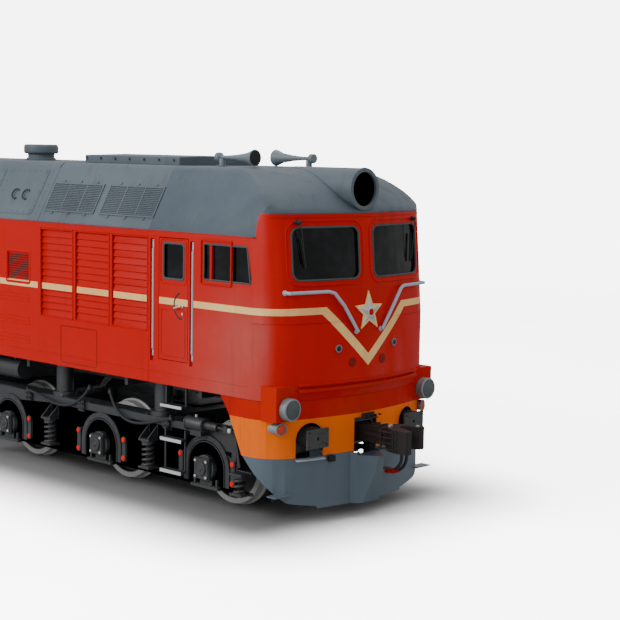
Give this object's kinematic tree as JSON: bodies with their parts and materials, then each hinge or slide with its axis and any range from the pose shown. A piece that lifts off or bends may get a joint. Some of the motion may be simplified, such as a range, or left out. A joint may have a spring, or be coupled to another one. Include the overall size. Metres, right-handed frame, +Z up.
{
  "type": "double-ended diesel locomotive",
  "caption": "Six-axle double-ended diesel locomotive with two yawing bogies, turning wheelsets, swinging couplers, opening cab doors and a roof fan.",
  "frame": {"origin": "middle of the locomotive at the lowest point of the wheel flanges", "axes": "+X forward along the locomotive, +Y to its left, +Z up"},
  "size_m": [17.55, 2.95, 4.5479],
  "materials": {
    "body_red": "semi-gloss paint with a cream waist stripe",
    "roof_grey": "satin paint",
    "fitting_grey": "satin paint",
    "bare_steel": "satin",
    "glass": "tinted, glossy",
    "handrail_grey": "semi-gloss paint",
    "apron_orange": "semi-gloss paint",
    "plough_grey": "satin paint",
    "coupler_black": "rough casting",
    "hose_rubber": "matt",
    "running_gear_black": "satin paint with dust",
    "engine_paint": "satin",
    "desk_paint": "satin",
    "seat_leather": "worn",
    "wheel_steel": "turned rim, satin"
  },
  "bodies": {
    "locomotive": {"main_frame": "running_gear_black", "front_cab_shell": "body_red", "rear_cab_shell": "body_red", "right_side_wall": "body_red", "left_side_wall": "body_red", "front_roof_section": "roof_grey", "middle_roof_section": "roof_grey", "rear_roof_section": "roof_grey", "side_louvres": "body_red", "roof_intake_box": "roof_grey", "roof_breather": "fitting_grey", "fan_guard": "roof_grey", "horns": "fitting_grey", "headlights": "roof_grey", "windscreens": "glass", "cab_side_windows": "glass", "side_handrails": "handrail_grey", "nose_handrails": "handrail_grey", "corner_lamps": "handrail_grey", "front_apron": "apron_orange", "rear_apron": "apron_orange", "front_plough": "plough_grey", "rear_plough": "plough_grey", "buffer_pads": "coupler_black", "brake_hoses": "hose_rubber", "door_steps": "running_gear_black", "fuel_tank": "running_gear_black", "air_reservoirs": "running_gear_black", "engine_block": "engine_paint", "control_desks": "desk_paint", "driver_seats": "seat_leather"},
    "front_bogie": {"front_bogie_frame": "running_gear_black", "front_axle_boxes": "running_gear_black", "front_bogie_springs": "running_gear_black", "front_brake_gear": "running_gear_black", "front_traction_motors": "running_gear_black", "front_bogie_hoses": "hose_rubber"},
    "rear_bogie": {"rear_bogie_frame": "running_gear_black", "rear_axle_boxes": "running_gear_black", "rear_bogie_springs": "running_gear_black", "rear_brake_gear": "running_gear_black", "rear_traction_motors": "running_gear_black", "rear_bogie_hoses": "hose_rubber"},
    "cooling_fan": {"radiator_fan": "bare_steel"},
    "front_coupling": {"front_coupler": "coupler_black"},
    "rear_coupling": {"rear_coupler": "coupler_black"},
    "front_right_cab_door": {"front_right_door": "body_red", "front_right_door_glass": "glass"},
    "front_left_cab_door": {"front_left_door": "body_red", "front_left_door_glass": "glass"},
    "rear_right_cab_door": {"rear_right_door": "body_red", "rear_right_door_glass": "glass"},
    "rear_left_cab_door": {"rear_left_door": "body_red", "rear_left_door_glass": "glass"},
    "axle_1": {"wheelset_1": "wheel_steel"},
    "axle_2": {"wheelset_2": "wheel_steel"},
    "axle_3": {"wheelset_3": "wheel_steel"},
    "axle_4": {"wheelset_4": "wheel_steel"},
    "axle_5": {"wheelset_5": "wheel_steel"},
    "axle_6": {"wheelset_6": "wheel_steel"}
  },
  "joints": [
    {"name": "front_bogie_yaw", "type": "hinge", "parent": "locomotive", "child": "front_bogie", "pos_m": [4.3, 0, 1], "axis": [0, 0, 1], "range_deg": [-3, 3]},
    {"name": "rear_bogie_yaw", "type": "hinge", "parent": "locomotive", "child": "rear_bogie", "pos_m": [-4.3, 0, 1], "axis": [0, 0, 1], "range_deg": [-3, 3]},
    {"name": "axle_1_turn", "type": "hinge", "parent": "front_bogie", "child": "axle_1", "pos_m": [6.4, 0, 0.553], "axis": [0, 1, 0], "continuous": true},
    {"name": "axle_2_turn", "type": "hinge", "parent": "front_bogie", "child": "axle_2", "pos_m": [4.3, 0, 0.553], "axis": [0, 1, 0], "continuous": true},
    {"name": "axle_3_turn", "type": "hinge", "parent": "front_bogie", "child": "axle_3", "pos_m": [2.2, 0, 0.553], "axis": [0, 1, 0], "continuous": true},
    {"name": "axle_4_turn", "type": "hinge", "parent": "rear_bogie", "child": "axle_4", "pos_m": [-2.2, 0, 0.553], "axis": [0, 1, 0], "continuous": true},
    {"name": "axle_5_turn", "type": "hinge", "parent": "rear_bogie", "child": "axle_5", "pos_m": [-4.3, 0, 0.553], "axis": [0, 1, 0], "continuous": true},
    {"name": "axle_6_turn", "type": "hinge", "parent": "rear_bogie", "child": "axle_6", "pos_m": [-6.4, 0, 0.553], "axis": [0, 1, 0], "continuous": true},
    {"name": "front_right_door_swing", "type": "hinge", "parent": "locomotive", "child": "front_right_cab_door", "pos_m": [5.655, -1.395, 2.6], "axis": [0, 0, 1], "range_deg": [0, 85]},
    {"name": "front_left_door_swing", "type": "hinge", "parent": "locomotive", "child": "front_left_cab_door", "pos_m": [5.655, 1.395, 2.6], "axis": [0, 0, -1], "range_deg": [0, 85]},
    {"name": "rear_right_door_swing", "type": "hinge", "parent": "locomotive", "child": "rear_right_cab_door", "pos_m": [-5.655, -1.395, 2.6], "axis": [0, 0, -1], "range_deg": [0, 85]},
    {"name": "rear_left_door_swing", "type": "hinge", "parent": "locomotive", "child": "rear_left_cab_door", "pos_m": [-5.655, 1.395, 2.6], "axis": [0, 0, 1], "range_deg": [0, 85]},
    {"name": "fan_spin", "type": "hinge", "parent": "locomotive", "child": "cooling_fan", "pos_m": [-4.3, 0, 4.1], "axis": [0, 0, 1], "continuous": true},
    {"name": "front_coupler_swing", "type": "hinge", "parent": "locomotive", "child": "front_coupling", "pos_m": [7.4, 0, 1.065], "axis": [0, 0, 1], "range_deg": [-8, 8]},
    {"name": "rear_coupler_swing", "type": "hinge", "parent": "locomotive", "child": "rear_coupling", "pos_m": [-7.4, 0, 1.065], "axis": [0, 0, 1], "range_deg": [-8, 8]}
  ]
}
